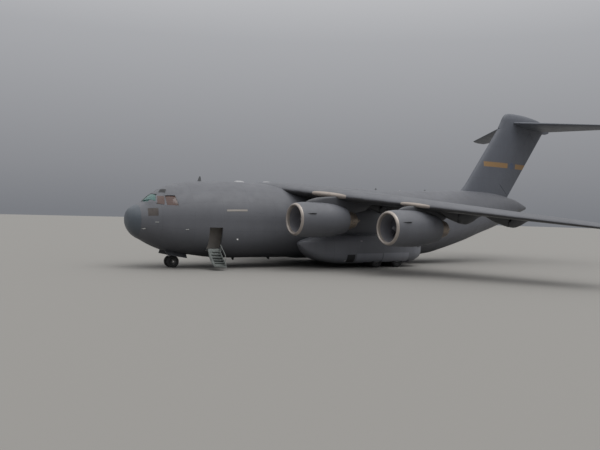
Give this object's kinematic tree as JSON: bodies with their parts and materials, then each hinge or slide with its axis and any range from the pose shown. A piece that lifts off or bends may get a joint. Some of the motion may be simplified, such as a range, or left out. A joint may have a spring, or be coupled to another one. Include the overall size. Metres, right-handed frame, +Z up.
{
  "type": "military transport plane, 1:2 scale model",
  "caption": "High-wing, T-tail military airlifter on its landing gear, with jet engines under swept wings, a rear cargo ramp and an open crew door; a 1:2 scale model.",
  "frame": {"origin": "on the ground, below the middle of the overall box", "axes": "+X aft along the fuselage, +Y to starboard, +Z up"},
  "size_m": [26.52, 25.8802, 8.7],
  "materials": {
    "grey_paint": "matte",
    "belly_paint": "matte",
    "radome_paint": "satin",
    "tinted_glass": "polished",
    "interior_trim": "matte",
    "floor_metal": "matte",
    "stair_paint": "satin",
    "hot_metal": "satin",
    "fan_metal": "satin",
    "leg_paint": "satin",
    "tyre_rubber": "matte"
  },
  "bodies": {
    "airframe": {"radome": "radome_paint", "cockpit_shell": "grey_paint", "windshield": "tinted_glass", "side_window_left": "tinted_glass", "side_window_right": "tinted_glass", "flight_deck": "interior_trim", "fuselage_forward": "grey_paint", "fuselage_centre": "grey_paint", "wing_centre": "grey_paint", "fuselage_aft": "grey_paint", "tail_cone": "grey_paint", "cargo_floor": "floor_metal", "side_door_left": "grey_paint", "side_door_right": "grey_paint", "gear_pod_left": "belly_paint", "gear_pod_right": "belly_paint", "wing_left": "grey_paint", "wing_right": "grey_paint", "nacelle_1": "grey_paint", "nacelle_2": "grey_paint", "nacelle_3": "grey_paint", "nacelle_4": "grey_paint", "engine_1": "hot_metal", "engine_2": "hot_metal", "engine_3": "hot_metal", "engine_4": "hot_metal", "fin": "grey_paint", "stabiliser": "grey_paint", "main_leg_front_left": "leg_paint", "main_leg_front_right": "leg_paint", "main_leg_rear_left": "leg_paint", "main_leg_rear_right": "leg_paint", "nose_leg": "leg_paint", "nose_gear_door_left": "belly_paint", "nose_gear_door_right": "belly_paint"},
    "crew_door": {"crew_door": "stair_paint"},
    "cargo_ramp": {"cargo_ramp": "belly_paint"},
    "cargo_door": {"cargo_door": "belly_paint"},
    "flap_inboard_left": {"flap_inboard_left": "grey_paint"},
    "flap_inboard_right": {"flap_inboard_right": "grey_paint"},
    "flap_outboard_left": {"flap_outboard_left": "grey_paint"},
    "flap_outboard_right": {"flap_outboard_right": "grey_paint"},
    "aileron_left": {"aileron_left": "grey_paint"},
    "aileron_right": {"aileron_right": "grey_paint"},
    "rudder": {"rudder": "grey_paint"},
    "elevator_left": {"elevator_left": "grey_paint"},
    "elevator_right": {"elevator_right": "grey_paint"},
    "fan_1": {"fan_1": "fan_metal"},
    "fan_2": {"fan_2": "fan_metal"},
    "fan_3": {"fan_3": "fan_metal"},
    "fan_4": {"fan_4": "fan_metal"},
    "nose_fork": {"nose_fork": "leg_paint"},
    "nose_wheels": {"nose_wheels": "tyre_rubber"},
    "main_wheels_front_left": {"main_wheels_front_left": "tyre_rubber"},
    "main_wheels_front_right": {"main_wheels_front_right": "tyre_rubber"},
    "main_wheels_rear_left": {"main_wheels_rear_left": "tyre_rubber"},
    "main_wheels_rear_right": {"main_wheels_rear_right": "tyre_rubber"}
  },
  "joints": [
    {"name": "crew_door_hinge", "type": "hinge", "parent": "airframe", "child": "crew_door", "pos_m": [-10, -1.34346, 0.765], "axis": [1, 0, 0], "range_deg": [-112, 0]},
    {"name": "cargo_ramp_hinge", "type": "hinge", "parent": "airframe", "child": "cargo_ramp", "pos_m": [1.393, 0, 0.392], "axis": [0, 1, 0], "range_deg": [0, 17]},
    {"name": "cargo_door_hinge", "type": "hinge", "parent": "airframe", "child": "cargo_door", "pos_m": [7.487, 0, 2.03], "axis": [0, 1, 0], "range_deg": [0, 25]},
    {"name": "flap_inboard_left_hinge", "type": "hinge", "parent": "airframe", "child": "flap_inboard_left", "pos_m": [-2.41473, -2.13421, 2.70228], "axis": [-0.2208, 0.9712, 0.09], "range_deg": [0, 40]},
    {"name": "flap_inboard_right_hinge", "type": "hinge", "parent": "airframe", "child": "flap_inboard_right", "pos_m": [-2.41473, 2.13421, 2.70228], "axis": [0.2208, 0.9712, -0.09], "range_deg": [0, 40]},
    {"name": "flap_outboard_left_hinge", "type": "hinge", "parent": "airframe", "child": "flap_outboard_left", "pos_m": [-1.8074, -4.71693, 2.56664], "axis": [-0.3033, 0.948, 0.0964], "range_deg": [0, 40]},
    {"name": "flap_outboard_right_hinge", "type": "hinge", "parent": "airframe", "child": "flap_outboard_right", "pos_m": [-1.8074, 4.71693, 2.56664], "axis": [0.3033, 0.948, -0.0964], "range_deg": [0, 40]},
    {"name": "aileron_left_hinge", "type": "hinge", "parent": "airframe", "child": "aileron_left", "pos_m": [-0.2267, -9.175, 2.47128], "axis": [-0.2882, 0.9522, 0.1014], "range_deg": [-25, 25]},
    {"name": "aileron_right_hinge", "type": "hinge", "parent": "airframe", "child": "aileron_right", "pos_m": [-0.2267, 9.175, 2.47128], "axis": [0.2882, 0.9522, -0.1014], "range_deg": [-25, 25]},
    {"name": "rudder_hinge", "type": "hinge", "parent": "airframe", "child": "rudder", "pos_m": [8.7515, 0, 4.25], "axis": [0.6051, 0, 0.7962], "range_deg": [-30, 30]},
    {"name": "elevator_left_hinge", "type": "hinge", "parent": "airframe", "child": "elevator_left", "pos_m": [11.73109, -0.375, 7.92402], "axis": [-0.1985, 0.978, 0.0639], "range_deg": [-25, 20]},
    {"name": "elevator_right_hinge", "type": "hinge", "parent": "airframe", "child": "elevator_right", "pos_m": [11.73109, 0.375, 7.92402], "axis": [0.1985, 0.978, -0.0639], "range_deg": [-25, 20]},
    {"name": "fan_1_spin", "type": "hinge", "parent": "airframe", "child": "fan_1", "pos_m": [-4.295, -6.3, 1.89], "axis": [1, 0, 0], "continuous": true},
    {"name": "fan_2_spin", "type": "hinge", "parent": "airframe", "child": "fan_2", "pos_m": [-6.645, -3.225, 2.145], "axis": [1, 0, 0], "continuous": true},
    {"name": "fan_3_spin", "type": "hinge", "parent": "airframe", "child": "fan_3", "pos_m": [-6.645, 3.225, 2.145], "axis": [1, 0, 0], "continuous": true},
    {"name": "fan_4_spin", "type": "hinge", "parent": "airframe", "child": "fan_4", "pos_m": [-4.295, 6.3, 1.89], "axis": [1, 0, 0], "continuous": true},
    {"name": "nose_steering", "type": "hinge", "parent": "airframe", "child": "nose_fork", "pos_m": [-11.285, 0, 0.4], "axis": [0, 0, 1], "range_deg": [-65, 65]},
    {"name": "nose_wheels_spin", "type": "hinge", "parent": "nose_fork", "child": "nose_wheels", "pos_m": [-11.285, 0, 0.24861], "axis": [0, 1, 0], "continuous": true},
    {"name": "main_wheels_front_left_spin", "type": "hinge", "parent": "airframe", "child": "main_wheels_front_left", "pos_m": [-2.385, -2.025, 0.30954], "axis": [0, 1, 0], "continuous": true},
    {"name": "main_wheels_front_right_spin", "type": "hinge", "parent": "airframe", "child": "main_wheels_front_right", "pos_m": [-2.385, 2.025, 0.30954], "axis": [0, 1, 0], "continuous": true},
    {"name": "main_wheels_rear_left_spin", "type": "hinge", "parent": "airframe", "child": "main_wheels_rear_left", "pos_m": [-1.135, -2.025, 0.30954], "axis": [0, 1, 0], "continuous": true},
    {"name": "main_wheels_rear_right_spin", "type": "hinge", "parent": "airframe", "child": "main_wheels_rear_right", "pos_m": [-1.135, 2.025, 0.30954], "axis": [0, 1, 0], "continuous": true}
  ],
  "couplings": [
    {"joint": "flap_inboard_right_hinge", "follows": "flap_inboard_left_hinge", "ratio": 1},
    {"joint": "flap_outboard_left_hinge", "follows": "flap_inboard_left_hinge", "ratio": 1},
    {"joint": "flap_outboard_right_hinge", "follows": "flap_inboard_left_hinge", "ratio": 1},
    {"joint": "aileron_right_hinge", "follows": "aileron_left_hinge", "ratio": -1},
    {"joint": "elevator_right_hinge", "follows": "elevator_left_hinge", "ratio": 1}
  ]
}
